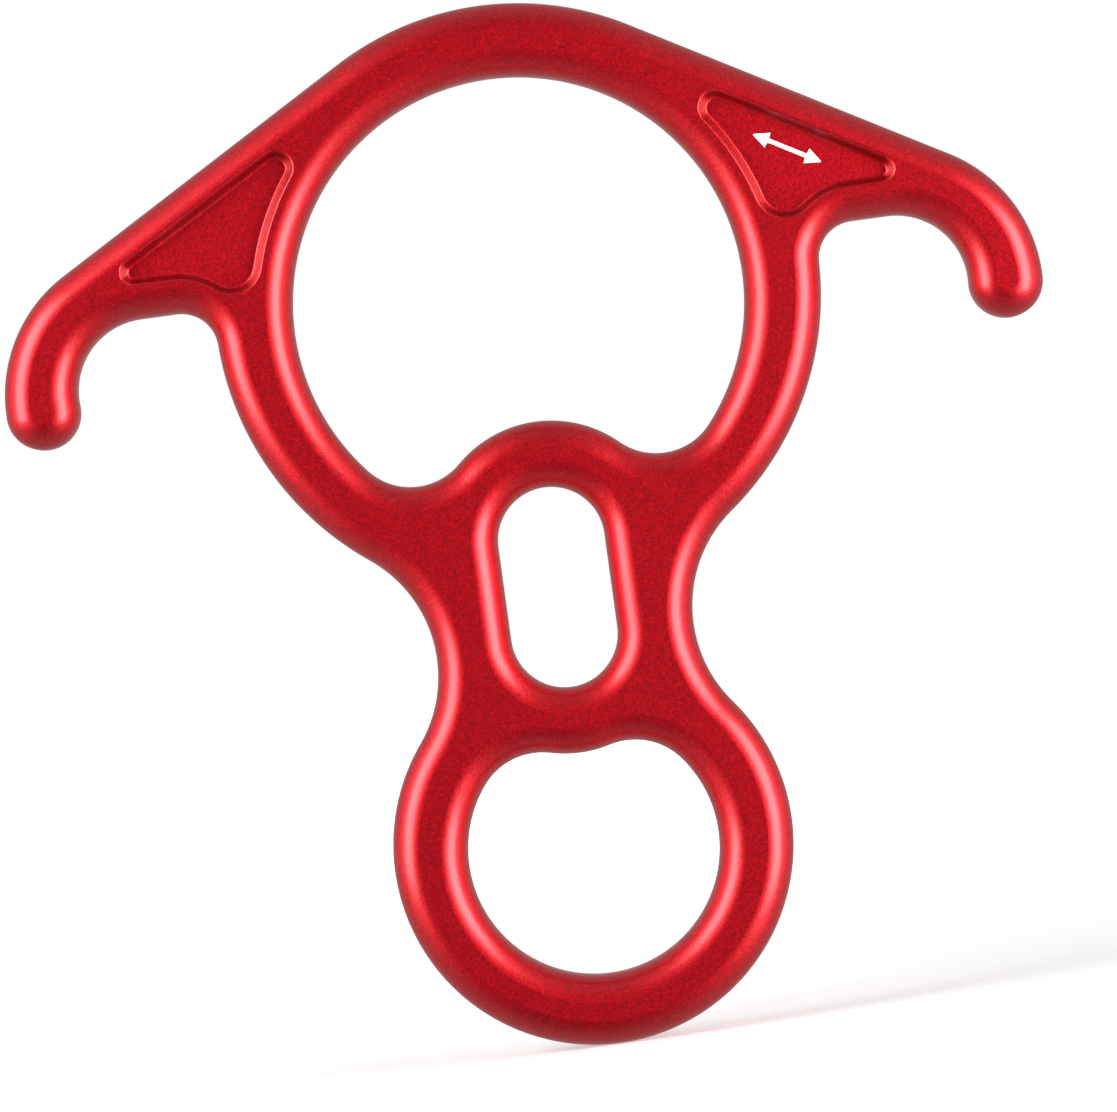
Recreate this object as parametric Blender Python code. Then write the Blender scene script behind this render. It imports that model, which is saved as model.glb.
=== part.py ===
"""Rescue figure-eight rope descender with two ears, modelled in metres, +Z up.

The descender is one solid plate of forged aluminium that stands upright in the XZ plane.
Its thickness runs along Y, its marked face looks along -Y, and its big eye is at the top.
The world origin is the centre of the bounding box.  Sketch places are (x, z) pairs measured
from the centre of the big eye.
"""
import bpy
import bmesh
import math

# ---------------------------------------------------------------- driving dimensions (metres)
PLATE_THICKNESS = 0.0130
EDGE_RADIUS = 0.0051          # round along every outside and inside edge of the plate
EDGE_FLAT = 0.0002            # least flat left between two rounded edges

BIG_EYE_RADIUS = 0.0368
BIG_RING_TOP_WALL = 0.0119    # metal above the big eye
BIG_RING_TOP_RISE = 0.0006    # centre of the crown arc above the eye's centre
BIG_RING_SIDE_WALL = 0.0126   # metal beside the big eye
BIG_RING_SIDE_RISE = 0.0011   # centre of the side arcs above the eye's centre

EYE_PITCH = 0.0898            # big eye centre to small eye centre
SMALL_EYE_RADIUS = 0.0205
SMALL_RING_WALL = 0.0121
SMALL_RING_RISE = 0.0007      # centre of the small ring's outside above its eye's centre
WAIST_HALF_WIDTH = 0.0211

SLOT_WIDTH = 0.0174
BRIDGE_WALL = 0.0108          # metal round the ends of the slot
BIG_NOSE_REACH = 0.0172       # how far the bridge stands into the big eye
SMALL_NOSE_REACH = 0.0047     # how far the bridge stands into the small eye
BIG_LOBE_RADIUS = 0.0103      # hollow corners beside the bridge, in the big eye
SMALL_LOBE_RADIUS = 0.0108    # hollow corners beside the bridge, in the small eye

EAR_SLOPE = math.radians(29.8)
EAR_BAR_WIDTH = 0.0120
EAR_NOTCH_WIDTH = 0.0237      # from the big ring's side to the ear tip
EAR_TIP_HANG = 0.0131         # centre of the ear tip below the underside
EAR_SHOULDER_RADIUS = 0.0244
EAR_HOOK_RADIUS = 0.0117      # inside of the hooked tip
EAR_ROOT_RADIUS = 0.0062      # inside corner where the ear leaves the ring

PANEL_HEIGHT = 0.0119         # rim to rim, straight down beside the big ring
PANEL_DEPTH = 0.0020
PANEL_WALL_RUN = 0.0016       # width of the sloping wall round a panel
PANEL_TOP_LAP = 0.0007        # how far the panel's rim reaches over the sloping rounded edge
PANEL_EYE_LAP = 0.0001        # how far it reaches over the big eye's rounded edge
PANEL_UNDER_LAP = 0.0001      # how far it reaches over the underside's rounded edge
PANEL_TIP_RADIUS = 0.0024
PANEL_CROWN_RADIUS = 0.0031
PANEL_LOBE_RADIUS = 0.0052

# ---------------------------------------------------------------- fineness of the mesh
ARC_STEP = math.radians(7.5)
TIP_STEP = math.radians(11.25)
EDGE_RESOLUTION = 2           # gives three facets across each rounded edge
WELD = 0.000001
CUT_CLEARANCE = 0.004         # how far a cutter stands out of the face it cuts
RIM_DROP = 0.0001             # how far a panel's walls run straight in before they slope

ANODISED_RED = (0.46, 0.012, 0.022, 1.0)

# ---------------------------------------------------------------- derived places
BIG_EYE = (0.0, 0.0)
SMALL_EYE = (0.0, -EYE_PITCH)
CROWN = (0.0, BIG_RING_TOP_RISE)
CROWN_RADIUS = BIG_EYE_RADIUS + BIG_RING_TOP_WALL - BIG_RING_TOP_RISE
BIG_RING = (0.0, BIG_RING_SIDE_RISE)
BIG_RING_RADIUS = BIG_EYE_RADIUS + BIG_RING_SIDE_WALL
SMALL_RING = (0.0, SMALL_RING_RISE - EYE_PITCH)
SMALL_RING_RADIUS = SMALL_EYE_RADIUS + SMALL_RING_WALL

SLOT_RADIUS = SLOT_WIDTH / 2
BRIDGE_RADIUS = SLOT_RADIUS + BRIDGE_WALL
BRIDGE_TOP = (0.0, BIG_NOSE_REACH - BIG_EYE_RADIUS - BRIDGE_RADIUS)
BRIDGE_BOTTOM = (0.0, SMALL_EYE[1] + SMALL_EYE_RADIUS - SMALL_NOSE_REACH + BRIDGE_RADIUS)

# The rounded edge is limited by the thinnest wall that carries one on both sides.
SLOT_WALL = WAIST_HALF_WIDTH - SLOT_RADIUS
RING_WALL = min(BIG_RING_TOP_WALL, BIG_RING_SIDE_WALL, SMALL_RING_WALL)
THINNEST_WALL = min(PLATE_THICKNESS, RING_WALL, BRIDGE_WALL, SLOT_WALL, EAR_BAR_WIDTH)
EDGE_ROUND = min(EDGE_RADIUS, (THINNEST_WALL - EDGE_FLAT) / 2)

PANEL_TOP_MARGIN = EDGE_ROUND - PANEL_TOP_LAP
PANEL_EYE_MARGIN = EDGE_ROUND - PANEL_EYE_LAP
PANEL_UNDER_MARGIN = EDGE_ROUND - PANEL_UNDER_LAP
EDGE_NORMAL = (math.sin(EAR_SLOPE), math.cos(EAR_SLOPE))
EDGE_OFFSET = CROWN[1] * EDGE_NORMAL[1] + CROWN_RADIUS
EDGE_BESIDE_RING = (EDGE_OFFSET - EDGE_NORMAL[0] * BIG_RING_RADIUS) / EDGE_NORMAL[1]
UNDERSIDE = EDGE_BESIDE_RING - PANEL_TOP_MARGIN / EDGE_NORMAL[1] - PANEL_HEIGHT - PANEL_UNDER_MARGIN
TIP_RADIUS = EAR_BAR_WIDTH / 2
EAR_TIP = (BIG_RING_RADIUS + EAR_NOTCH_WIDTH + TIP_RADIUS, UNDERSIDE - EAR_TIP_HANG)

TOP = CROWN[1] + CROWN_RADIUS
BOTTOM = SMALL_RING[1] - SMALL_RING_RADIUS
MIDDLE = (TOP + BOTTOM) / 2


# ---------------------------------------------------------------- plane geometry
def direction(start, end):
    """Angle of the line from one point to another."""
    return math.atan2(end[1] - start[1], end[0] - start[0])


def arc(centre, radius, start, end, step=ARC_STEP):
    """Points along an arc, both ends included; it turns the way that end - start says."""
    count = max(2, math.ceil(abs(end - start) / step))
    angles = [start + (end - start) * i / count for i in range(count + 1)]
    return [(centre[0] + radius * math.cos(a), centre[1] + radius * math.sin(a)) for a in angles]


def meeting(first, first_radius, second, second_radius, side):
    """Point at the two distances from the two centres, left (1) or right (-1) of the line between."""
    gap = math.dist(first, second)
    along = (first_radius ** 2 - second_radius ** 2 + gap ** 2) / (2 * gap)
    across = side * math.sqrt(first_radius ** 2 - along ** 2)
    ux = (second[0] - first[0]) / gap
    uz = (second[1] - first[1]) / gap
    return (first[0] + along * ux - across * uz, first[1] + along * uz + across * ux)


def beside_edge(point, reach, inset, side):
    """Place inside the sloping edge by inset, at a reach from a point, towards tip (1) or crown (-1)."""
    height = EDGE_OFFSET - inset - point[0] * EDGE_NORMAL[0] - point[1] * EDGE_NORMAL[1]
    run = side * math.sqrt(reach ** 2 - height ** 2)
    return (point[0] + EDGE_NORMAL[0] * height + EDGE_NORMAL[1] * run,
            point[1] + EDGE_NORMAL[1] * height - EDGE_NORMAL[0] * run)


def waist_arc():
    """Centre and radius of the waist: it touches both rings and the given half width."""
    upper = BIG_RING_RADIUS - WAIST_HALF_WIDTH
    lower = SMALL_RING_RADIUS - WAIST_HALF_WIDTH
    upper_rest = BIG_RING_RADIUS ** 2 - WAIST_HALF_WIDTH ** 2
    lower_rest = SMALL_RING_RADIUS ** 2 - WAIST_HALF_WIDTH ** 2
    # (z - z_big)^2 / upper - (z - z_small)^2 / lower = upper_rest / upper - lower_rest / lower
    square = 1 / upper - 1 / lower
    linear = -2 * (BIG_RING[1] / upper - SMALL_RING[1] / lower)
    constant = (BIG_RING[1] ** 2 - upper_rest) / upper - (SMALL_RING[1] ** 2 - lower_rest) / lower
    root = math.sqrt(linear ** 2 - 4 * square * constant)
    roots = [(-linear + sign * root) / (2 * square) for sign in (1, -1)]
    z = next(value for value in roots if SMALL_RING[1] < value < BIG_RING[1])
    radius = ((z - BIG_RING[1]) ** 2 - upper_rest) / (2 * upper)
    return (WAIST_HALF_WIDTH + radius, z), radius


def ear_root():
    """Centre of the inside corner where the ear's underside meets the big ring."""
    z = UNDERSIDE - EAR_ROOT_RADIUS
    return (math.sqrt((BIG_RING_RADIUS + EAR_ROOT_RADIUS) ** 2 - (z - BIG_RING[1]) ** 2), z)


# ---------------------------------------------------------------- outlines
def plate_half():
    """Right half of the plate's outside, from the crown down to the small ring's lowest point."""
    shoulder = beside_edge(EAR_TIP, EAR_SHOULDER_RADIUS - TIP_RADIUS, EAR_SHOULDER_RADIUS, -1)
    hook_z = UNDERSIDE - EAR_HOOK_RADIUS
    hook_run = math.sqrt((EAR_HOOK_RADIUS + TIP_RADIUS) ** 2 - (hook_z - EAR_TIP[1]) ** 2)
    hook = (EAR_TIP[0] - hook_run, hook_z)
    root = ear_root()
    waist, waist_radius = waist_arc()
    up = math.pi / 2
    edge_angle = up - EAR_SLOPE
    tip_start = direction(shoulder, EAR_TIP)
    tip_end = direction(EAR_TIP, hook) % math.tau - math.tau
    points = arc(CROWN, CROWN_RADIUS, up, edge_angle)
    points += arc(shoulder, EAR_SHOULDER_RADIUS, edge_angle, tip_start)
    points += arc(EAR_TIP, TIP_RADIUS, tip_start, tip_end, TIP_STEP)[1:]
    points += arc(hook, EAR_HOOK_RADIUS, direction(hook, EAR_TIP), up, TIP_STEP)[1:]
    points += arc(root, EAR_ROOT_RADIUS, up, direction(root, BIG_RING) % math.tau, TIP_STEP)
    points += arc(BIG_RING, BIG_RING_RADIUS, direction(BIG_RING, root), direction(BIG_RING, waist))[1:]
    points += arc(waist, waist_radius, direction(waist, BIG_RING) % math.tau,
                  direction(waist, SMALL_RING) % math.tau)[1:]
    points += arc(SMALL_RING, SMALL_RING_RADIUS, direction(SMALL_RING, waist), -up)[1:]
    return points


def eye_half(eye, eye_radius, nose, lobe_radius, side):
    """Right half of an eye from its far end to the bridge's nose; side is 1 if the nose is below."""
    lobe = meeting(eye, eye_radius - lobe_radius, nose, BRIDGE_RADIUS + lobe_radius, side)
    far = side * math.pi / 2
    nose_end = direction(nose, lobe)
    points = arc(eye, eye_radius, far, direction(eye, lobe))
    points += arc(lobe, lobe_radius, direction(eye, lobe), nose_end - side * math.pi, TIP_STEP)[1:]
    points += arc(nose, BRIDGE_RADIUS, nose_end, far)[1:]
    return points


def slot_half():
    """Right half of the slot, from its top end to its bottom end."""
    points = arc(BRIDGE_TOP, SLOT_RADIUS, math.pi / 2, 0)
    return points + arc(BRIDGE_BOTTOM, SLOT_RADIUS, 0, -math.pi / 2)


def panel_outline():
    """Rim of the right-hand panel: the ear's walls moved inwards, with rounded corners."""
    eye_side = BIG_EYE_RADIUS + PANEL_EYE_MARGIN
    root = ear_root()
    under = EAR_ROOT_RADIUS + PANEL_UNDER_MARGIN
    tip_z = UNDERSIDE + PANEL_UNDER_MARGIN + PANEL_TIP_RADIUS
    tip_inset = PANEL_TOP_MARGIN + PANEL_TIP_RADIUS
    tip = ((EDGE_OFFSET - tip_inset - EDGE_NORMAL[1] * tip_z) / EDGE_NORMAL[0], tip_z)
    crown_inset = PANEL_TOP_MARGIN + PANEL_CROWN_RADIUS
    crown = beside_edge(BIG_EYE, eye_side + PANEL_CROWN_RADIUS, crown_inset, 1)
    lobe = meeting(BIG_EYE, eye_side + PANEL_LOBE_RADIUS, root, under + PANEL_LOBE_RADIUS, 1)
    up = math.pi / 2
    edge_angle = up - EAR_SLOPE
    points = arc(crown, PANEL_CROWN_RADIUS, direction(crown, BIG_EYE) % math.tau, edge_angle, TIP_STEP)
    points += arc(tip, PANEL_TIP_RADIUS, edge_angle, -up, TIP_STEP)
    points += arc(root, under, up, direction(root, lobe), TIP_STEP)
    points += arc(lobe, PANEL_LOBE_RADIUS, direction(lobe, root) % math.tau,
                  direction(lobe, BIG_EYE) % math.tau, TIP_STEP)[1:]
    points += arc(BIG_EYE, eye_side, direction(BIG_EYE, lobe), direction(BIG_EYE, crown))[1:-1]
    return points


def whole(half):
    """Both sides of a half outline that starts and ends on the centre line."""
    return half + [(-x, z) for x, z in reversed(half[1:-1])]


# ---------------------------------------------------------------- Blender objects
def fresh_collection(name):
    """An empty collection linked to the scene."""
    collection = bpy.data.collections.new(name)
    bpy.context.scene.collection.children.link(collection)
    return collection


def anodised_aluminium():
    """Red anodised aluminium, satin."""
    material = bpy.data.materials.new("red_anodised_aluminium")
    material.use_nodes = True
    shader = material.node_tree.nodes["Principled BSDF"]
    shader.inputs["Base Color"].default_value = ANODISED_RED
    shader.inputs["Metallic"].default_value = 0.85
    shader.inputs["Roughness"].default_value = 0.38
    return material


def outline_curve(name, outlines, half_thickness):
    """Flat 2D curve, filled on both sides and stood upright, its big eye at the given place."""
    curve = bpy.data.curves.new(name, "CURVE")
    curve.dimensions = "2D"
    curve.fill_mode = "BOTH"
    curve.extrude = half_thickness
    for outline in outlines:
        spline = curve.splines.new("POLY")
        spline.points.add(len(outline) - 1)
        for point, (x, z) in zip(spline.points, outline):
            point.co = (x, z, 0.0, 1.0)
        spline.use_cyclic_u = True
    upright = bpy.data.objects.new(name, curve)
    upright.rotation_euler = (math.pi / 2, 0.0, 0.0)
    upright.location = (0.0, 0.0, -MIDDLE)
    return upright


def curve_to_mesh(upright, collection):
    """The curve as a welded mesh object of the same name and place."""
    collection.objects.link(upright)
    bpy.context.view_layer.update()
    evaluated = upright.evaluated_get(bpy.context.evaluated_depsgraph_get())
    mesh = bpy.data.meshes.new_from_object(evaluated)
    matrix = upright.matrix_world.copy()
    name = upright.name
    bpy.data.objects.remove(upright)
    bm = bmesh.new()
    bm.from_mesh(mesh)
    bmesh.ops.remove_doubles(bm, verts=bm.verts, dist=WELD)
    bmesh.ops.recalc_face_normals(bm, faces=bm.faces)
    bm.to_mesh(mesh)
    bm.free()
    mesh.name = name
    solid = bpy.data.objects.new(name, mesh)
    solid.matrix_world = matrix
    collection.objects.link(solid)
    return solid


def panel_cutter(name, side, face, collection):
    """Dish-shaped cutter for one panel: straight above the face, sloping walls down to its floor."""
    bm = bmesh.new()
    rim = [bm.verts.new((side * x, z, 0.0)) for x, z in panel_outline()]
    floor = bm.faces.new(rim)
    floor.normal_update()
    if floor.normal.z < 0:
        floor.normal_flip()
    lid = bmesh.ops.extrude_face_region(bm, geom=[floor])
    lid_points = [item for item in lid["geom"] if isinstance(item, bmesh.types.BMVert)]
    bmesh.ops.translate(bm, verts=lid_points, vec=(0.0, 0.0, CUT_CLEARANCE))
    bmesh.ops.recalc_face_normals(bm, faces=bm.faces)
    base = next(item for item in bm.faces if len(item.verts) == len(rim) and item.normal.z < -0.5)
    bmesh.ops.inset_region(bm, faces=[base], thickness=PANEL_WALL_RUN, depth=PANEL_DEPTH - RIM_DROP)
    bmesh.ops.recalc_face_normals(bm, faces=bm.faces)
    mesh = bpy.data.meshes.new(name)
    bm.to_mesh(mesh)
    bm.free()
    cutter = bpy.data.objects.new(name, mesh)
    cutter.rotation_euler = (math.pi / 2, 0.0, 0.0 if face < 0 else math.pi)
    cutter.location = (0.0, face * (PLATE_THICKNESS / 2 - RIM_DROP), -MIDDLE)
    cutter.hide_render = True
    cutter.display_type = "WIRE"
    collection.objects.link(cutter)
    return cutter


def cut_out(solid, cutter):
    """Boolean difference that stays on the solid."""
    boolean = solid.modifiers.new("cut_" + cutter.name, "BOOLEAN")
    boolean.operation = "DIFFERENCE"
    boolean.solver = "EXACT"
    boolean.object = cutter


def descender_body(parts, cutters):
    """The whole descender: plate with two eyes and a slot, rounded edges and four shallow panels."""
    big_eye = eye_half(BIG_EYE, BIG_EYE_RADIUS, BRIDGE_TOP, BIG_LOBE_RADIUS, 1)
    small_eye = eye_half(SMALL_EYE, SMALL_EYE_RADIUS, BRIDGE_BOTTOM, SMALL_LOBE_RADIUS, -1)
    outlines = [whole(half) for half in (plate_half(), big_eye, small_eye, slot_half())]
    plate = outline_curve("descender_body", outlines, PLATE_THICKNESS / 2 - EDGE_ROUND)
    plate.data.bevel_depth = EDGE_ROUND
    plate.data.bevel_resolution = EDGE_RESOLUTION
    plate.data.offset = -EDGE_ROUND
    body = curve_to_mesh(plate, parts)
    for face, face_name in ((-1, "front"), (1, "back")):
        for side, side_name in ((-1, "left"), (1, "right")):
            name = f"{face_name}_{side_name}_panel"
            cut_out(body, panel_cutter(name, -side * face, face, cutters))
    body.data.materials.append(anodised_aluminium())
    body.data.shade_smooth()
    body.data.set_sharp_from_angle(angle=math.radians(40))
    return body


def main():
    """Clear the scene and build the descender."""
    for old in list(bpy.data.objects):
        bpy.data.objects.remove(old)
    parts = fresh_collection("rope_descender")
    cutters = fresh_collection("cutters")
    descender_body(parts, cutters)


main()
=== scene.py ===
"""Finished look of a rescue figure-eight rope descender, laid out as a Blender add-on.

The descender is one forged plate that stands upright in the XZ plane, its marked face
towards -Y.  Lengths are metres.  Sketch places are (x, z) pairs from the big eye's centre.
"""
import math

import bmesh
import bpy
from bpy.props import FloatProperty, FloatVectorProperty, PointerProperty
from bpy.types import Operator, Panel, PropertyGroup
from mathutils import Matrix, Vector


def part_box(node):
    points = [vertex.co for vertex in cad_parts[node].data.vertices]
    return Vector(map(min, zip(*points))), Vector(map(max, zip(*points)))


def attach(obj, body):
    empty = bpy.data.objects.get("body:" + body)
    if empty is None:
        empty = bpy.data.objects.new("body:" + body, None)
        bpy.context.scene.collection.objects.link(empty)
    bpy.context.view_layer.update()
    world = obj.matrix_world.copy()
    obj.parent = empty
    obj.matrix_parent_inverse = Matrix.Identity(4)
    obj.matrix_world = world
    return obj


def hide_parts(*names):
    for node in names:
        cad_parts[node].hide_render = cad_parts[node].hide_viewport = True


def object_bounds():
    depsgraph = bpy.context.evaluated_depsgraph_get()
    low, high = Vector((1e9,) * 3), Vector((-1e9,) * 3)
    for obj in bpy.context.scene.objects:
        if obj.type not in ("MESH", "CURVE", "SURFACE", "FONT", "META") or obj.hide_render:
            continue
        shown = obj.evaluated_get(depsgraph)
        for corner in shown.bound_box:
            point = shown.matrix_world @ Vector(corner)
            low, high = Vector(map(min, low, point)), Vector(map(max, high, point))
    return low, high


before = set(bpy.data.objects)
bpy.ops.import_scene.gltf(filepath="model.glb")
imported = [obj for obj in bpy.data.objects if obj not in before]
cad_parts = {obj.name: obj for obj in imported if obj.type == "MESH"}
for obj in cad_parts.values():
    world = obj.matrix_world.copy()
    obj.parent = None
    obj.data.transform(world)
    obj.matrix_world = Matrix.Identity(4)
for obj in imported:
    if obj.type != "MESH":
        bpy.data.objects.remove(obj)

bl_info = {
    "name": "Rope Descender",
    "version": (1, 0, 0),
    "blender": (4, 5, 0),
    "location": "View3D > Sidebar > Descender",
    "description": "Builds a forged figure-eight rope descender with its finish and a studio",
    "category": "Object",
}

CAD_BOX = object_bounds()
PLATE_NODE = "descender_body"
PLATE_BODY = "root"
PLATE_LOW, PLATE_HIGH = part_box(PLATE_NODE)

ARC_STEP = math.radians(5.0)      # widest turn of one edge along an arc
CHORD = 0.0010                    # longest edge along an arc
LINE_STEP = 0.0030                # longest edge along a straight stretch
EDGE_SEGMENTS = 10                # facets across the plate's rounded edge
SOFT_STEPS = 6                    # facets across the round at a panel wall's rim and foot
SUPPORT = 0.00006                 # narrow ring that keeps the flats shading flat
WELD = 0.000002
ON_PLANE = 0.00001                # nearer to a mirror plane than this is on it
OVERLAP = 0.0070                  # how far a half is drawn past the mirror plane before it is cut
FLOOR_LAYER = "panel_floor"       # how deep a place on a panel lies, from rim (0) to floor (1)
HEAD_FLARE = 0.04                 # share of an arrow head's length in which it widens

AVERAGE_NOISE = 0.5               # what a noise gives on average
PLAIN_SHADE = 0.97                # share of the anodised colour that the flats show
PIT_DETAIL = 2.0                  # finer layers in the noise of the pits
PIT_BLEND = 0.6                   # strength of a noise's finer layers
MOTTLE_SCALE = 260.0              # slow patches to the metre
MOTTLE_DETAIL = 3.0               # finer layers in the noise of the patches
MOTTLE_SHADE = 0.16               # how far a patch is lighter or darker
PIT_SATIN = 0.16                  # spread of roughness from pit to pit
PAINTED_GLINT_FROM = 0.84                 # facets with a higher chance than this get painted glints
PAINTED_GLINT_OUTSIDE = 0.6               # share of the painted glints that shows outside the panels
FLOOR_SHADE = 0.08                # how much lighter the panel floors are
FLOOR_SPECKLE = 0.3               # how much more speckled the panel floors are
FLOOR_BUMP = 0.5                  # how much coarser the panel floors are

PRINT_SHADE = 0.92                # darkest share of the print's white
PRINT_SHADE_SPREAD = 0.16         # how much lighter it is over the highest grain
PRINT_SATIN = 0.50                # least roughness of the print
PRINT_SATIN_SPREAD = 0.1
PRINT_BLEND = 0.5                 # strength of the finer layers in the print's noise
CLOUD_SCALE = 3.0                 # patches to the metre on the studio floor
STUDIO_SATIN = 0.85               # least roughness of the studio floor
STUDIO_SATIN_SPREAD = 0.1
GLOW_FROM = 0.12                  # the floor's glow begins to rise at this reach
GLOW_TO = 0.60                    # and is full from this reach
DARK_TO = -0.95                   # the surroundings are darkest from this share of -Y
FILL_FROM = -0.05                 # and give their full fill light from this one
MILLIMETRES = 1000                # in a metre
NEAREST_VIEW = 0.01               # nothing nearer to the camera than this is drawn


# ---------------------------------------------------------------- what a user can change
def length(name, default, description):
    """A length in metres."""
    return FloatProperty(name=name, default=default, description=description, min=0.0,
                         precision=4, subtype="DISTANCE", unit="LENGTH")


def share(name, default, description):
    """A share from nothing to all."""
    return FloatProperty(name=name, default=default, description=description, min=0.0,
                         max=1.0, subtype="FACTOR")


def angle(name, degrees, description):
    """An angle, given in degrees and kept in radians."""
    return FloatProperty(name=name, default=math.radians(degrees), description=description,
                         subtype="ANGLE", unit="ROTATION")


def colour(name, default, description):
    """A linear red, green and blue colour."""
    return FloatVectorProperty(name=name, default=default, description=description, size=3,
                               min=0.0, max=1.0, subtype="COLOR")


class PlateSizes(PropertyGroup):
    """Sizes of the forged plate's outline and edges."""

    thickness: length("Thickness", PLATE_HIGH.y - PLATE_LOW.y, "Plate thickness")
    edge_radius: length("Edge Radius", 0.0051, "Round along every edge of the plate")
    big_eye_radius: length("Big Eye Radius", 0.0368, "Radius of the rope eye")
    top_wall: length("Top Wall", 0.0119, "Metal above the big eye")
    top_rise: length("Top Rise", 0.0006, "Crown arc's centre above the big eye's centre")
    side_wall: length("Side Wall", 0.0126, "Metal beside the big eye")
    side_rise: length("Side Rise", 0.0011, "Side arcs' centre above the big eye's centre")
    eye_pitch: length("Eye Pitch", 0.0898, "Big eye centre to small eye centre")
    small_eye_radius: length("Small Eye Radius", 0.0205, "Radius of the carabiner eye")
    small_wall: length("Small Wall", 0.0121, "Metal round the small eye")
    small_rise: length("Small Rise", 0.0007, "Small ring's centre above its eye's centre")
    waist_half: length("Waist Half Width", 0.0211, "Centre line to the narrowest place")
    slot_width: length("Slot Width", 0.0174, "Width of the middle slot")
    bridge_wall: length("Bridge Wall", 0.0108, "Metal round the ends of the slot")
    big_nose: length("Big Nose Reach", 0.0172, "How far the bridge stands into the big eye")
    small_nose: length("Small Nose Reach", 0.0047, "How far it stands into the small eye")
    big_lobe: length("Big Lobe Radius", 0.0103, "Hollow corners of the big eye")
    small_lobe: length("Small Lobe Radius", 0.0108, "Hollow corners of the small eye")
    ear_slope: angle("Ear Slope", 29.8, "Fall of the ears' sloping edge")
    ear_bar: length("Ear Bar Width", 0.0120, "Width of the hooked tip")
    ear_notch: length("Ear Notch Width", 0.0237, "Big ring's side to the ear tip")
    ear_hang: length("Ear Tip Hang", 0.0131, "Tip's centre below the ear's underside")
    ear_shoulder: length("Ear Shoulder Radius", 0.0244, "Outside bend of the ear")
    ear_hook: length("Ear Hook Radius", 0.0117, "Inside bend of the hooked tip")
    ear_root: length("Ear Root Radius", 0.0062, "Inside corner between ear and ring")


class PanelSizes(PropertyGroup):
    """Sizes of the shallow triangular panels in the ears."""

    height: length("Height", 0.0119, "Rim to rim, straight down beside the big ring")
    depth: length("Depth", 0.0020, "Depth of the panel floor")
    wall_run: length("Wall Run", 0.0016, "Width of the sloping wall")
    soft_edge: length("Soft Edge", 0.0005, "Width of the round at the wall's rim and foot")
    top_margin: length("Top Margin", 0.0044, "Sloping edge to the panel's rim")
    eye_margin: length("Eye Margin", 0.0050, "Big eye's edge to the panel's rim")
    under_margin: length("Under Margin", 0.0050, "Ear's underside to the panel's rim")
    tip_radius: length("Tip Radius", 0.0024, "Corner towards the ear tip")
    crown_radius: length("Crown Radius", 0.0031, "Corner towards the crown")
    lobe_radius: length("Lobe Radius", 0.0052, "Corner where the ear meets the ring")


class MarkSizes(PropertyGroup):
    """Sizes of the printed double arrow that shows the loading direction."""

    reach: length("Length", 0.0118, "Tip to tip")
    shaft: length("Shaft Width", 0.0007, "Width of the line")
    head_run: length("Head Length", 0.0026, "Length of each arrow head")
    head_width: length("Head Width", 0.0026, "Width of each arrow head")
    film: length("Film", 0.00005, "Thickness of the print")
    across: length("Across", 0.0466, "Mark's centre to the right of the big eye's centre")
    above: length("Above", 0.0187, "Mark's centre above the big eye's centre")


class FinishLook(PropertyGroup):
    """Colours and grain of the finishes."""

    red: colour("Anodised Red", (0.80, 0.004, 0.016), "Colour of the anodised aluminium")
    roughness: share("Roughness", 0.52, "Satin of the blasted surface")
    seal_roughness: share("Seal Roughness", 0.30, "Satin of the clear oxide layer")
    seal_index: FloatProperty(name="Seal Index", default=1.57, min=1.0,
                              description="Refractive index of the clear oxide layer")
    grain: length("Grain", 0.00040, "Size of the blasted pits")
    grain_depth: length("Grain Depth", 0.00005, "Height of the blasted pits")
    # painted glints: a few random facets get a brighter base colour, standing in for the glints of facets
    # that catch the light
    painted_glint_strength: share("Sparkle", 0.45, "Extra brightness of the few facets that catch the light")
    # painted shade: the middle of each steep panel wall gets a darker base colour, standing in for the
    # light that the wall doesn't give back
    painted_wall_shade: share("Wall Shade", 0.56, "How much less light the steep panel walls give back")
    white: colour("Print White", (0.88, 0.87, 0.87), "Colour of the printed mark")


class StageLook(PropertyGroup):
    """Floor, lights and camera."""

    floor_colour: colour("Floor Colour", (0.85, 0.85, 0.85), "Colour of the floor")
    floor_glow: share("Floor Glow", 0.45, "Light that the floor gives near the descender")
    floor_size: length("Floor Size", 6.0, "Side of the square floor")
    fill: share("Fill", 0.36, "Light from the studio's walls and ceiling")
    dark_side: share("Dark Side", 0.03, "Light from the studio's dark end behind the camera")
    lens: FloatProperty(name="Lens", default=0.200, description="Focal length of the camera",
                        subtype="DISTANCE", unit="LENGTH")
    view_width: length("View Width", 0.18207, "Width of the view at the plate")
    roll: angle("Roll", 7.875, "How far the plate leans to the left in the view")
    aim_x: FloatProperty(name="Aim Across", default=0.0008, unit="LENGTH",
                         description="Middle of the view to the right of the plate's middle")
    aim_z: FloatProperty(name="Aim Up", default=-0.0053, unit="LENGTH",
                         description="Middle of the view above the plate's middle")
    box_distance: length("Soft Box Distance", 0.7, "Plate to each soft box")
    box_width: length("Soft Box Width", 0.40, "Width of each soft box")
    box_height: length("Soft Box Height", 0.66, "Height of each soft box")
    left_turn: angle("Left Turn", -61, "Left soft box's turn away from the camera")
    left_rise: angle("Left Rise", 9, "Left soft box's height above the plate")
    left_light: FloatProperty(name="Left Light", default=6.2, description="Its brightness")
    right_turn: angle("Right Turn", 55, "Right soft box's turn away from the camera")
    right_rise: angle("Right Rise", 6, "Right soft box's height above the plate")
    right_light: FloatProperty(name="Right Light", default=7.0, description="Its brightness")


class DescenderSettings(PropertyGroup):
    """Every setting of the descender and its studio."""

    plate: PointerProperty(type=PlateSizes)
    panel: PointerProperty(type=PanelSizes)
    mark: PointerProperty(type=MarkSizes)
    finish: PointerProperty(type=FinishLook)
    stage: PointerProperty(type=StageLook)


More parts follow.
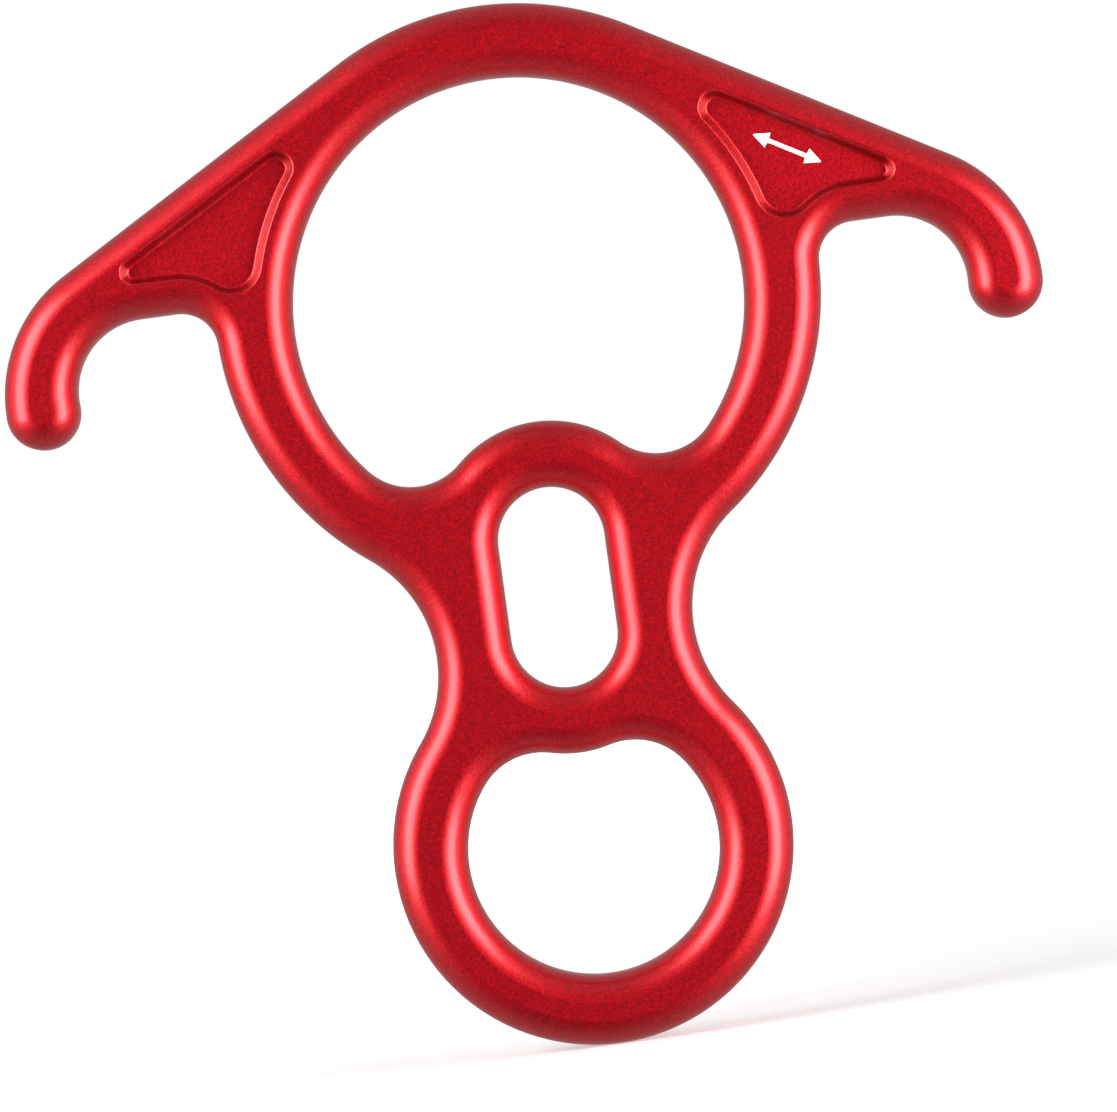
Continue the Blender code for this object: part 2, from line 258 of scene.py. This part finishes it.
# ---------------------------------------------------------------- the sketch
def meeting(first, first_radius, second, second_radius, side):
    """Place at two distances from two centres, left (1) or right (-1) of the way between."""
    ahead = (second - first).normalized()
    gap = (second - first).length
    along = (first_radius ** 2 - second_radius ** 2 + gap ** 2) / (2 * gap)
    across = side * math.sqrt(first_radius ** 2 - along ** 2)
    return first + ahead * along + Vector((-ahead.y, ahead.x)) * across


class Sketch:
    """Centres and radii of the arcs in the outlines, worked out from the sizes."""

    def __init__(self, plate, panel):
        self.big_eye = Vector((0.0, 0.0))
        self.small_eye = Vector((0.0, -plate.eye_pitch))
        self.crown = Vector((0.0, plate.top_rise))
        self.crown_radius = plate.big_eye_radius + plate.top_wall - plate.top_rise
        self.ring = Vector((0.0, plate.side_rise))
        self.ring_radius = plate.big_eye_radius + plate.side_wall
        self.small_ring = self.small_eye + Vector((0.0, plate.small_rise))
        self.small_ring_radius = plate.small_eye_radius + plate.small_wall
        self.top = self.crown.y + self.crown_radius
        self.place_slot(plate)
        self.place_ear(plate, panel)
        self.place_waist(plate)
        self.place_panel(plate, panel)

    def place_slot(self, plate):
        """The slot's two end arcs, which the bridge's noses share, and the eyes' lobes."""
        self.slot_radius = plate.slot_width / 2
        self.nose_radius = self.slot_radius + plate.bridge_wall
        upper = plate.big_nose - plate.big_eye_radius - self.nose_radius
        lower = self.small_eye.y + plate.small_eye_radius - plate.small_nose + self.nose_radius
        self.slot_top = Vector((0.0, upper))
        self.slot_bottom = Vector((0.0, lower))
        self.big_lobe = meeting(self.big_eye, plate.big_eye_radius - plate.big_lobe,
                                self.slot_top, self.nose_radius + plate.big_lobe, 1)
        self.small_lobe = meeting(self.small_eye, plate.small_eye_radius - plate.small_lobe,
                                  self.slot_bottom, self.nose_radius + plate.small_lobe, -1)

    def place_ear(self, plate, panel):
        """The sloping edge, the underside and the bends of the right-hand ear."""
        self.edge_normal = Vector((math.sin(plate.ear_slope), math.cos(plate.ear_slope)))
        self.edge_offset = self.crown.dot(self.edge_normal) + self.crown_radius
        beside_ring = self.edge_offset - self.edge_normal.x * self.ring_radius
        edge_height = (beside_ring - panel.top_margin) / self.edge_normal.y
        self.underside = edge_height - panel.height - panel.under_margin
        self.tip_radius = plate.ear_bar / 2
        self.tip = Vector((self.ring_radius + plate.ear_notch + self.tip_radius,
                           self.underside - plate.ear_hang))
        self.shoulder = self.beside_edge(self.tip, plate.ear_shoulder - self.tip_radius,
                                         plate.ear_shoulder, -1)
        hook_height = self.underside - plate.ear_hook
        hook_drop = hook_height - self.tip.y
        hook_run = math.sqrt((plate.ear_hook + self.tip_radius) ** 2 - hook_drop ** 2)
        self.hook = Vector((self.tip.x - hook_run, hook_height))
        root_height = self.underside - plate.ear_root
        root_reach = self.ring_radius + plate.ear_root
        root_run = math.sqrt(root_reach ** 2 - (root_height - self.ring.y) ** 2)
        self.root = Vector((root_run, root_height))

    def place_waist(self, plate):
        """The waist's arc touches both rings and the given half width."""
        half = plate.waist_half
        upper = self.ring_radius - half
        lower = self.small_ring_radius - half
        upper_rest = self.ring_radius ** 2 - half ** 2
        lower_rest = self.small_ring_radius ** 2 - half ** 2
        # (z - ring)^2 / upper - (z - small_ring)^2 / lower = upper_rest / upper - lower_rest / lower
        square = 1 / upper - 1 / lower
        linear = -2 * (self.ring.y / upper - self.small_ring.y / lower)
        constant = (self.ring.y ** 2 - upper_rest) / upper
        constant -= (self.small_ring.y ** 2 - lower_rest) / lower
        root = math.sqrt(linear ** 2 - 4 * square * constant)
        heights = [(-linear + sign * root) / (2 * square) for sign in (1, -1)]
        height = next(z for z in heights if self.small_ring.y < z < self.ring.y)
        radius = ((height - self.ring.y) ** 2 - upper_rest) / (2 * upper)
        self.waist = Vector((half + radius, height))

    def place_panel(self, plate, panel):
        """The corner arcs of the right-hand panel's rim."""
        self.panel_eye = plate.big_eye_radius + panel.eye_margin
        self.panel_root = plate.ear_root + panel.under_margin
        tip_height = self.underside + panel.under_margin + panel.tip_radius
        tip_offset = self.edge_offset - panel.top_margin - panel.tip_radius
        tip_run = (tip_offset - self.edge_normal.y * tip_height) / self.edge_normal.x
        self.panel_tip = Vector((tip_run, tip_height))
        self.panel_crown = self.beside_edge(self.big_eye, self.panel_eye + panel.crown_radius,
                                            panel.top_margin + panel.crown_radius, 1)
        self.panel_lobe = meeting(self.big_eye, self.panel_eye + panel.lobe_radius,
                                  self.root, self.panel_root + panel.lobe_radius, 1)

    def beside_edge(self, place, reach, inset, side):
        """Place inside the sloping edge by inset, at a reach from a place, to the tip's side (1)."""
        height = self.edge_offset - inset - place.dot(self.edge_normal)
        run = side * math.sqrt(reach ** 2 - height ** 2)
        along = Vector((self.edge_normal.y, -self.edge_normal.x))
        return place + self.edge_normal * height + along * run


class OutlinePen:
    """Draws edges in a plane across Y by spinning and pushing one corner point."""

    def __init__(self, bm, start, y):
        self.bm = bm
        self.y = y
        self.start = start
        self.tip = bm.verts.new((start.x, y, start.y))

    def arc(self, centre, towards, turn):
        """Spin left (1) or right (-1) round a centre until the tip points towards a place."""
        arm = Vector((self.tip.co.x, self.tip.co.z)) - centre
        finish = towards - centre
        swing = turn * (math.atan2(finish.y, finish.x) - math.atan2(arm.y, arm.x)) % math.tau
        steps = math.ceil(max(swing / ARC_STEP, swing * arm.length / CHORD))
        spun = bmesh.ops.spin(self.bm, geom=[self.tip], cent=(centre.x, self.y, centre.y),
                              axis=(0.0, -turn, 0.0), angle=swing, steps=steps)
        self.tip = next(item for item in spun["geom_last"] if isinstance(item, bmesh.types.BMVert))

    def line(self, place):
        """Push a straight stretch to a place, in even steps."""
        reach = Vector((place.x, self.y, place.y)) - self.tip.co
        steps = math.ceil(reach.length / LINE_STEP)
        for _ in range(steps):
            pushed = bmesh.ops.extrude_vert_indiv(self.bm, verts=[self.tip])
            self.tip = pushed["verts"][0]
            bmesh.ops.translate(self.bm, verts=[self.tip], vec=reach / steps)

    def close(self):
        """Straight back to the start."""
        self.line(self.start)


UP = Vector((0.0, 1.0))
RIGHT = Vector((1.0, 0.0))


def past_axis(centre, radius, side):
    """Place on a circle a little left of the mirror plane, above (1) or below (-1) its centre."""
    return centre + Vector((-OVERLAP, side * math.sqrt(radius ** 2 - OVERLAP ** 2)))


def draw_outside(pen, sketch, plate):
    """The plate's right side, from the crown down to the small ring's lowest point."""
    pen.arc(sketch.crown, sketch.crown + sketch.edge_normal, -1)
    pen.line(sketch.shoulder + sketch.edge_normal * plate.ear_shoulder)
    pen.arc(sketch.shoulder, sketch.tip, -1)
    pen.arc(sketch.tip, sketch.hook, -1)
    pen.arc(sketch.hook, sketch.hook + UP, 1)
    pen.line(sketch.root + UP * plate.ear_root)
    pen.arc(sketch.root, sketch.ring, 1)
    pen.arc(sketch.ring, sketch.waist, -1)
    pen.arc(sketch.waist, sketch.small_ring, 1)
    pen.arc(sketch.small_ring, past_axis(sketch.small_ring, sketch.small_ring_radius, -1), -1)


def draw_holes(pen, sketch, plate):
    """Up the left, round the right half of the small eye, the slot and the big eye."""
    pen.line(past_axis(sketch.small_eye, plate.small_eye_radius, -1))
    pen.arc(sketch.small_eye, sketch.small_lobe, 1)
    pen.arc(sketch.small_lobe, sketch.slot_bottom, 1)
    pen.arc(sketch.slot_bottom, past_axis(sketch.slot_bottom, sketch.nose_radius, -1), -1)
    pen.line(past_axis(sketch.slot_bottom, sketch.slot_radius, -1))
    pen.arc(sketch.slot_bottom, sketch.slot_bottom + RIGHT, 1)
    pen.line(sketch.slot_top + RIGHT * sketch.slot_radius)
    pen.arc(sketch.slot_top, past_axis(sketch.slot_top, sketch.slot_radius, 1), 1)
    pen.line(past_axis(sketch.slot_top, sketch.nose_radius, 1))
    pen.arc(sketch.slot_top, sketch.big_lobe, -1)
    pen.arc(sketch.big_lobe, sketch.big_lobe * 2 - sketch.big_eye, 1)
    pen.arc(sketch.big_eye, past_axis(sketch.big_eye, plate.big_eye_radius, 1), 1)


def draw_panel(pen, sketch, panel):
    """Rim of the right-hand panel, from its tip corner round to the left."""
    pen.arc(sketch.panel_tip, sketch.panel_tip + sketch.edge_normal, 1)
    pen.line(sketch.panel_crown + sketch.edge_normal * (panel.crown_radius + SUPPORT))
    pen.arc(sketch.panel_crown, sketch.big_eye, 1)
    pen.arc(sketch.big_eye, sketch.panel_lobe, -1)
    pen.arc(sketch.panel_lobe, sketch.root, 1)
    pen.arc(sketch.root, sketch.root + UP, -1)
    pen.close()


# ---------------------------------------------------------------- the forged plate
def on_axis(item):
    """Whether an edge lies in the plate's mirror plane across X."""
    return all(abs(corner.co.x) < ON_PLANE for corner in item.verts)


def at_depth(item, y):
    """Whether an edge or face lies in a plane across Y."""
    return all(abs(corner.co.y - y) < ON_PLANE for corner in item.verts)


def half_block(bm, sketch, plate, front):
    """Front half of the plate's right half, its outer edges rounded; returns the flat face.

    The rounded edge's last facet is left off, so that the flat begins before the panels do.
    """
    crest = front - plate.edge_radius * (1 - math.cos(math.pi / 2 / EDGE_SEGMENTS))
    pen = OutlinePen(bm, past_axis(sketch.crown, sketch.crown_radius, 1), crest)
    draw_outside(pen, sketch, plate)
    draw_holes(pen, sketch, plate)
    pen.close()
    bmesh.ops.remove_doubles(bm, verts=bm.verts, dist=WELD)
    face = bmesh.ops.contextual_create(bm, geom=bm.edges[:])["faces"][0]
    block = bmesh.ops.extrude_face_region(bm, geom=[face])
    inner = [item for item in block["geom"] if isinstance(item, bmesh.types.BMVert)]
    bmesh.ops.translate(bm, verts=inner, vec=(0.0, -crest, 0.0))
    bmesh.ops.recalc_face_normals(bm, faces=bm.faces)
    left = ON_PLANE - OVERLAP
    rim = [edge for edge in bm.edges if at_depth(edge, crest) and any(v.co.x > left for v in edge.verts)]
    bmesh.ops.bevel(bm, geom=rim, offset=plate.edge_radius, offset_type="OFFSET", affect="EDGES",
                    segments=EDGE_SEGMENTS, profile=0.5, material=-1, clamp_overlap=False)
    flat = max((face for face in bm.faces if at_depth(face, crest)), key=lambda f: len(f.verts))
    facets = {face for edge in flat.edges for face in edge.link_faces}
    upper = [face for face in bm.faces
             if face in facets and all(abs(corner.co.y) > ON_PLANE for corner in face.verts)]
    flat = bmesh.ops.dissolve_faces(bm, faces=upper)["region"][0]
    for corner in flat.verts:
        corner.co.y = front
    bm.normal_update()
    bmesh.ops.inset_region(bm, faces=[flat], thickness=SUPPORT, use_even_offset=True)
    return flat


def open_quarter(bm, flat):
    """Take away the flat, the middle plane's faces and all left of the axis; returns the flat's edges."""
    front = flat.verts[0].co.y
    spare = [face for face in bm.faces if at_depth(face, 0.0)]
    bmesh.ops.delete(bm, geom=spare + [flat], context="FACES")
    everything = bm.verts[:] + bm.edges[:] + bm.faces[:]
    bmesh.ops.bisect_plane(bm, geom=everything, dist=WELD, plane_co=(0.0, 0.0, 0.0),
                           plane_no=(1.0, 0.0, 0.0), clear_inner=True)
    loop = [edge for edge in bm.edges
            if edge.is_boundary and at_depth(edge, front) and not on_axis(edge)]
    ends = [corner for edge in loop for corner in edge.verts if abs(corner.co.x) < ON_PLANE]
    ends.sort(key=lambda corner: corner.co.z)
    for low, high in zip(ends[::2], ends[1::2]):
        loop.append(bm.edges.new((low, high)))
    return loop


def panel_rim(bm, sketch, panel, front):
    """Closed loop of edges round the panel, in the front face's plane."""
    known = set(bm.edges)
    start = sketch.panel_tip - UP * (panel.tip_radius + SUPPORT)
    draw_panel(OutlinePen(bm, start, front), sketch, panel)
    corners = [corner for corner in bm.verts
               if any(edge not in known for edge in corner.link_edges)]
    bmesh.ops.remove_doubles(bm, verts=corners, dist=WELD)
    return [edge for edge in bm.edges if edge not in known]


def wall_profile(panel):
    """Places down a panel's wall, as run and depth: a soft rim, a straight slope, a soft foot."""
    soft = panel.soft_edge
    slope = panel.depth / (panel.wall_run - soft)
    stops = []
    for step in range(1, SOFT_STEPS + 1):
        run = soft * step / SOFT_STEPS
        stops.append((run, slope * run ** 2 / (2 * soft)))
    for step in range(SOFT_STEPS, -1, -1):
        rest = soft * step / SOFT_STEPS
        stops.append((panel.wall_run - rest, panel.depth - slope * rest ** 2 / (2 * soft)))
    return stops


def press_panel(bm, face, panel, floor_layer):
    """Sink a panel into the flat, and mark how deep each place on it lies."""
    bmesh.ops.inset_region(bm, faces=[face], thickness=SUPPORT, use_even_offset=True)
    last_run = 0.0
    last_depth = 0.0
    for run, depth in wall_profile(panel):
        bmesh.ops.inset_region(bm, faces=[face], thickness=run - last_run,
                               depth=last_depth - depth, use_even_offset=True)
        last_run = run
        last_depth = depth
        for corner in face.verts:
            corner[floor_layer] = depth / panel.depth
    bmesh.ops.inset_region(bm, faces=[face], thickness=SUPPORT, use_even_offset=True)
    for corner in face.verts:
        corner[floor_layer] = 1.0


def forged_plate(settings):
    """The whole plate: a quarter is modelled, then mirrored across both of its mirror planes."""
    plate = settings.plate
    panel = settings.panel
    sketch = Sketch(plate, panel)
    front = -plate.thickness / 2
    bm = bmesh.new()
    floor_layer = bm.verts.layers.float.new(FLOOR_LAYER)
    flat = half_block(bm, sketch, plate, front)
    edges = open_quarter(bm, flat)
    rim = panel_rim(bm, sketch, panel, front)
    bmesh.ops.triangle_fill(bm, use_beauty=True, edges=edges + rim, normal=(0.0, -1.0, 0.0))
    dish = bmesh.ops.contextual_create(bm, geom=rim)["faces"][0]
    bmesh.ops.recalc_face_normals(bm, faces=bm.faces)
    if dish.normal.y > 0:
        dish.normal_flip()
    press_panel(bm, dish, panel, floor_layer)
    for axis in ("X", "Y"):
        everything = bm.verts[:] + bm.edges[:] + bm.faces[:]
        bmesh.ops.mirror(bm, geom=everything, matrix=Matrix.Identity(4), merge_dist=WELD, axis=axis)
    bmesh.ops.remove_doubles(bm, verts=bm.verts, dist=WELD)
    bmesh.ops.recalc_face_normals(bm, faces=bm.faces)
    bmesh.ops.translate(bm, verts=bm.verts, vec=(0.0, 0.0, PLATE_HIGH.z - sketch.top))
    return bm


def to_object(bm, name, material):
    """A finished piece from a bmesh, shaded smooth."""
    loose = [edge for edge in bm.edges if not edge.is_manifold]
    if loose:
        raise RuntimeError(f"{name} isn't closed: {len(loose)} edges without two faces")
    mesh = bpy.data.meshes.new(name)
    bm.to_mesh(mesh)
    bm.free()
    mesh.shade_smooth()
    mesh.materials.append(material)
    piece = bpy.data.objects.new(name, mesh)
    bpy.context.scene.collection.objects.link(piece)
    return piece


# ---------------------------------------------------------------- the printed mark
def double_arrow(settings):
    """Thin printed arrow with a head at each end, lying on the front right-hand panel."""
    mark = settings.mark
    plate = settings.plate
    sketch = Sketch(plate, settings.panel)
    bm = bmesh.new()
    bmesh.ops.create_grid(bm, x_segments=1, y_segments=1, size=0.5)
    shaft_reach = mark.reach - 2 * mark.head_run
    bmesh.ops.scale(bm, verts=bm.verts, vec=(shaft_reach, mark.shaft, 1.0))
    flare = mark.head_run * HEAD_FLARE
    blunt = mark.shaft / 4
    for side in (-1, 1):
        reach = side * shaft_reach / 2
        for run, width in ((flare, mark.head_width), (mark.head_run - flare, blunt)):
            end = max(bm.edges, key=lambda edge: side * sum(v.co.x for v in edge.verts))
            grown = bmesh.ops.extrude_edge_only(bm, edges=[end])["geom"]
            reach += side * run
            for corner in grown:
                if isinstance(corner, bmesh.types.BMVert):
                    corner.co.x = reach
                    corner.co.y = math.copysign(width / 2, corner.co.y)
    block = bmesh.ops.extrude_face_region(bm, geom=bm.faces[:])
    lifted = [item for item in block["geom"] if isinstance(item, bmesh.types.BMVert)]
    bmesh.ops.translate(bm, verts=lifted, vec=(0.0, 0.0, mark.film))
    bmesh.ops.recalc_face_normals(bm, faces=bm.faces)
    floor = plate.thickness / 2 - settings.panel.depth
    place = Vector((mark.across, -floor, mark.above + PLATE_HIGH.z - sketch.top))
    turn = Matrix.Rotation(math.pi / 2, 4, "X") @ Matrix.Rotation(-plate.ear_slope, 4, "Z")
    bmesh.ops.transform(bm, matrix=Matrix.Translation(place) @ turn, verts=bm.verts)
    return bm


# ---------------------------------------------------------------- materials
class Signal:
    """One output of a material's nodes; arithmetic on it adds Math nodes."""

    def __init__(self, finish, socket):
        self.finish = finish
        self.socket = socket

    def math(self, operation, first, second):
        """Add a Math node that works on two signals or numbers."""
        return self.finish.add("ShaderNodeMath", {"operation": operation}, {0: first, 1: second})

    def __add__(self, other):
        return self.math("ADD", self, other)

    def __sub__(self, other):
        return self.math("SUBTRACT", self, other)

    def __mul__(self, other):
        return self.math("MULTIPLY", self, other)

    def __rsub__(self, other):
        return self.math("SUBTRACT", other, self)

    __radd__ = __add__
    __rmul__ = __mul__


class Nodes:
    """A node tree that is added to one node at a time."""

    def __init__(self, tree):
        self.tree = tree

    def feed(self, socket, value):
        """Set a socket to a number or colour, or link a signal to it."""
        if isinstance(value, Signal):
            self.tree.links.new(value.socket, socket)
        else:
            socket.default_value = value

    def add(self, kind, settings, sockets, output=0):
        """Add a node; returns one of its outputs."""
        node = self.tree.nodes.new(kind)
        for setting, value in settings.items():
            setattr(node, setting, value)
        for socket, value in sockets.items():
            self.feed(node.inputs[socket], value)
        return Signal(self, node.outputs[output])


class Finish(Nodes):
    """A material with a Principled surface and the nodes that make its pattern."""

    def __init__(self, name):
        self.material = bpy.data.materials.new(name)
        self.material.use_nodes = True
        super().__init__(self.material.node_tree)
        self.surface = self.tree.nodes["Principled BSDF"]

    def dress(self, **sockets):
        """Feed the surface; underscores in the names stand for spaces."""
        for name, value in sockets.items():
            self.feed(self.surface.inputs[name.replace("_", " ")], value)


def anodised_aluminium(look):
    """Red anodised aluminium with a fine blasted grain and painted glints, both a little stronger in the
    panels, and painted shade half way down the panel walls.
    """
    finish = Finish("red_anodised_aluminium")
    place = finish.add("ShaderNodeTexCoord", {}, {}, "Object")
    pits = finish.add("ShaderNodeTexNoise", {}, {"Vector": place, "Scale": 1 / look.grain,
                                                 "Detail": PIT_DETAIL, "Roughness": PIT_BLEND})
    mottle = finish.add("ShaderNodeTexNoise", {}, {"Vector": place, "Scale": MOTTLE_SCALE,
                                                   "Detail": MOTTLE_DETAIL, "Roughness": PIT_BLEND})
    facets = finish.add("ShaderNodeTexVoronoi", {}, {"Vector": place, "Scale": 1 / look.grain}, "Color")
    lucky = finish.add("ShaderNodeSeparateColor", {}, {0: facets}, "Red")
    floor = finish.add("ShaderNodeAttribute", {"attribute_name": FLOOR_LAYER}, {}, "Fac")
    # painted glints: the facets with the highest chance get a brighter base colour, stronger on the panel
    # floors
    painted_glints = finish.add("ShaderNodeMapRange", {"interpolation_type": "SMOOTHSTEP"},
                       {"Value": lucky, "From Min": PAINTED_GLINT_FROM, "From Max": 1.0,
                        "To Min": 0.0, "To Max": look.painted_glint_strength})
    grain = (pits - AVERAGE_NOISE) * (1.0 + FLOOR_SPECKLE * floor)
    # the real blasted grain plus the painted glints
    grain_and_glints = grain + painted_glints * (PAINTED_GLINT_OUTSIDE + floor)
    patches = (mottle - AVERAGE_NOISE) * MOTTLE_SHADE
    painted_shade_mask = floor * (1.0 - floor) * 4.0     # where painted shade falls: 1 half way down a panel wall, nothing at its rim and foot
    shade = PLAIN_SHADE + FLOOR_SHADE * floor + grain_and_glints + patches
    # painted shade: the base colour is darkened half way down each panel wall, where a steep wall gives
    # back less light
    shade = shade * (1.0 - look.painted_wall_shade * painted_shade_mask)
    tint = finish.add("ShaderNodeVectorMath", {"operation": "SCALE"},
                      {0: tuple(look.red), "Scale": shade})
    rough = look.roughness - PIT_SATIN / 2 + PIT_SATIN * pits
    bump = finish.add("ShaderNodeBump", {}, {"Height": pits * (1.0 + FLOOR_BUMP * floor),
                                             "Distance": look.grain_depth, "Strength": 1.0})
    finish.dress(Base_Color=tint, Metallic=1.0, Roughness=rough, Normal=bump, Coat_Weight=1.0,
                 Coat_Roughness=look.seal_roughness, Coat_IOR=look.seal_index)
    return finish.material


def white_print(look):
    """White pad print, slightly uneven where it covers the blasted grain."""
    finish = Finish("white_print")
    place = finish.add("ShaderNodeTexCoord", {}, {}, "Object")
    grain = finish.add("ShaderNodeTexNoise", {}, {"Vector": place, "Scale": 1 / look.grain,
                                                  "Detail": PIT_DETAIL, "Roughness": PRINT_BLEND})
    shade = PRINT_SHADE + PRINT_SHADE_SPREAD * grain
    tint = finish.add("ShaderNodeVectorMath", {"operation": "SCALE"},
                      {0: tuple(look.white), "Scale": shade})
    bump = finish.add("ShaderNodeBump", {}, {"Height": grain, "Strength": 1.0,
                                             "Distance": look.grain_depth / 2})
    rough = PRINT_SATIN + PRINT_SATIN_SPREAD * grain
    finish.dress(Base_Color=tint, Roughness=rough, Normal=bump)
    return finish.material


def studio_white(look):
    """Plain pale floor that gives a little light of its own, full white away from the descender."""
    finish = Finish("studio_white")
    place = finish.add("ShaderNodeTexCoord", {}, {}, "Object")
    cloud = finish.add("ShaderNodeTexNoise", {}, {"Vector": place, "Scale": CLOUD_SCALE})
    reach = finish.add("ShaderNodeVectorMath", {"operation": "LENGTH"}, {0: place}, "Value")
    glow = finish.add("ShaderNodeMapRange", {"interpolation_type": "SMOOTHSTEP"},
                      {"Value": reach, "From Min": GLOW_FROM, "From Max": GLOW_TO,
                       "To Min": look.floor_glow, "To Max": 1.0})
    light = finish.add("ShaderNodeVectorMath", {"operation": "SCALE"},
                       {0: (1.0, 1.0, 1.0), "Scale": glow})
    rough = STUDIO_SATIN + STUDIO_SATIN_SPREAD * cloud
    finish.dress(Base_Color=(*look.floor_colour, 1.0), Roughness=rough,
                 Emission_Color=light, Emission_Strength=1.0)
    return finish.material


# ---------------------------------------------------------------- the studio
def view_frame(look):
    """Camera matrix without its place: it looks along +Y and is rolled as the view is."""
    return Matrix.Rotation(math.pi / 2, 4, "X") @ Matrix.Rotation(-look.roll, 4, "Z")


def make_camera(look):
    """The camera in front of the plate."""
    camera = bpy.data.objects.new("camera", bpy.data.cameras.new("camera"))
    camera.data.lens = look.lens * MILLIMETRES
    distance = look.view_width * camera.data.lens / camera.data.sensor_width
    place = Matrix.Translation((look.aim_x, -distance, look.aim_z))
    camera.matrix_world = place @ view_frame(look)
    camera.data.clip_start = NEAREST_VIEW
    bpy.context.scene.collection.objects.link(camera)
    bpy.context.scene.camera = camera


def soft_box(look, name, turn, rise, light):
    """Area light seen from the plate at two angles off the view's axis, facing the plate."""
    data = bpy.data.lights.new(name, "AREA")
    data.shape = "RECTANGLE"
    data.size = look.box_width
    data.size_y = look.box_height
    data.energy = light * look.box_width * look.box_height * math.pi
    lamp = bpy.data.objects.new(name, data)
    swing = Matrix.Rotation(turn, 4, "Y") @ Matrix.Rotation(-rise, 4, "X")
    lamp.matrix_world = view_frame(look) @ swing @ Matrix.Translation((0.0, 0.0, look.box_distance))
    bpy.context.scene.collection.objects.link(lamp)


def make_lights(look):
    """Two tall soft boxes beside the camera."""
    boxes = (("left_soft_box", look.left_turn, look.left_rise, look.left_light),
             ("right_soft_box", look.right_turn, look.right_rise, look.right_light))
    for name, turn, rise, light in boxes:
        soft_box(look, name, turn, rise, light)


def make_world(look):
    """Studio that looks white and gives a soft fill light, dark only behind the camera."""
    world = bpy.data.worlds.new("white_studio")
    world.use_nodes = True
    nodes = Nodes(world.node_tree)
    white = (1.0, 1.0, 1.0, 1.0)
    towards = nodes.add("ShaderNodeTexCoord", {}, {}, "Generated")
    depth = nodes.add("ShaderNodeSeparateXYZ", {}, {0: towards}, "Y")
    strength = nodes.add("ShaderNodeMapRange", {"interpolation_type": "SMOOTHSTEP"},
                         {"Value": depth, "From Min": DARK_TO, "From Max": FILL_FROM,
                          "To Min": look.dark_side, "To Max": look.fill})
    fill = nodes.add("ShaderNodeBackground", {}, {"Color": white, "Strength": strength})
    backdrop = nodes.add("ShaderNodeBackground", {}, {"Color": white})
    seen = nodes.add("ShaderNodeLightPath", {}, {}, "Is Camera Ray")
    choice = nodes.add("ShaderNodeMixShader", {}, {0: seen, 1: fill, 2: backdrop})
    nodes.feed(world.node_tree.nodes["World Output"].inputs["Surface"], choice)
    bpy.context.scene.world = world


def make_floor(look, height):
    """Wide flat floor at a height."""
    bm = bmesh.new()
    bmesh.ops.create_grid(bm, x_segments=1, y_segments=1, size=look.floor_size / 2)
    bmesh.ops.translate(bm, verts=bm.verts, vec=(0.0, 0.0, height))
    mesh = bpy.data.meshes.new("studio_floor")
    bm.to_mesh(mesh)
    bm.free()
    mesh.materials.append(studio_white(look))
    floor = bpy.data.objects.new("studio_floor", mesh)
    floor.visible_glossy = False
    floor.visible_shadow = False
    bpy.context.scene.collection.objects.link(floor)
    return floor


# ---------------------------------------------------------------- operators
class DESCENDER_OT_forged_plate(Operator):
    """Build the forged and anodised plate"""

    bl_idname = "descender.forged_plate"
    bl_label = "Forged Plate"

    def execute(self, context):
        settings = context.scene.descender
        material = anodised_aluminium(settings.finish)
        piece = to_object(forged_plate(settings), "forged_plate", material)
        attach(piece, PLATE_BODY)
        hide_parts(PLATE_NODE)
        return {"FINISHED"}


class DESCENDER_OT_load_arrow(Operator):
    """Print the double arrow that shows the loading direction"""

    bl_idname = "descender.load_arrow"
    bl_label = "Load Arrow"

    def execute(self, context):
        settings = context.scene.descender
        material = white_print(settings.finish)
        piece = to_object(double_arrow(settings), "load_arrow", material)
        piece.data.shade_flat()
        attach(piece, PLATE_BODY)
        return {"FINISHED"}


class DESCENDER_OT_studio(Operator):
    """Set up the floor, the lights, the surroundings and the camera"""

    bl_idname = "descender.studio"
    bl_label = "Studio"

    def execute(self, context):
        look = context.scene.descender.stage
        make_floor(look, CAD_BOX[0].z)
        make_lights(look)
        make_world(look)
        make_camera(look)
        context.scene.view_settings.view_transform = "Standard"
        return {"FINISHED"}


class VIEW3D_PT_descender(Panel):
    """Sidebar panel with the descender's sizes, finishes and steps."""

    bl_label = "Rope Descender"
    bl_category = "Descender"
    bl_space_type = "VIEW_3D"
    bl_region_type = "UI"

    def draw(self, context):
        layout = self.layout
        settings = context.scene.descender
        for group in (settings.plate, settings.panel, settings.mark, settings.finish, settings.stage):
            box = layout.box()
            box.label(text=type(group).__doc__)
            for name in type(group).__annotations__:
                box.prop(group, name)
        for step in STEPS:
            layout.operator(step.bl_idname)


STEPS = (DESCENDER_OT_forged_plate, DESCENDER_OT_load_arrow, DESCENDER_OT_studio)
CLASSES = (PlateSizes, PanelSizes, MarkSizes, FinishLook, StageLook, DescenderSettings, *STEPS,
           VIEW3D_PT_descender)


def register():
    """Register the settings, the operators and the panel."""
    for item in CLASSES:
        bpy.utils.register_class(item)
    bpy.types.Scene.descender = PointerProperty(type=DescenderSettings)


def unregister():
    """Undo register."""
    del bpy.types.Scene.descender
    for item in reversed(CLASSES):
        bpy.utils.unregister_class(item)


def main():
    """Register the add-on, then build the plate, its printed mark and the studio."""
    register()
    bpy.ops.descender.forged_plate()
    bpy.ops.descender.load_arrow()
    bpy.ops.descender.studio()


if __name__ == "__main__":
    main()
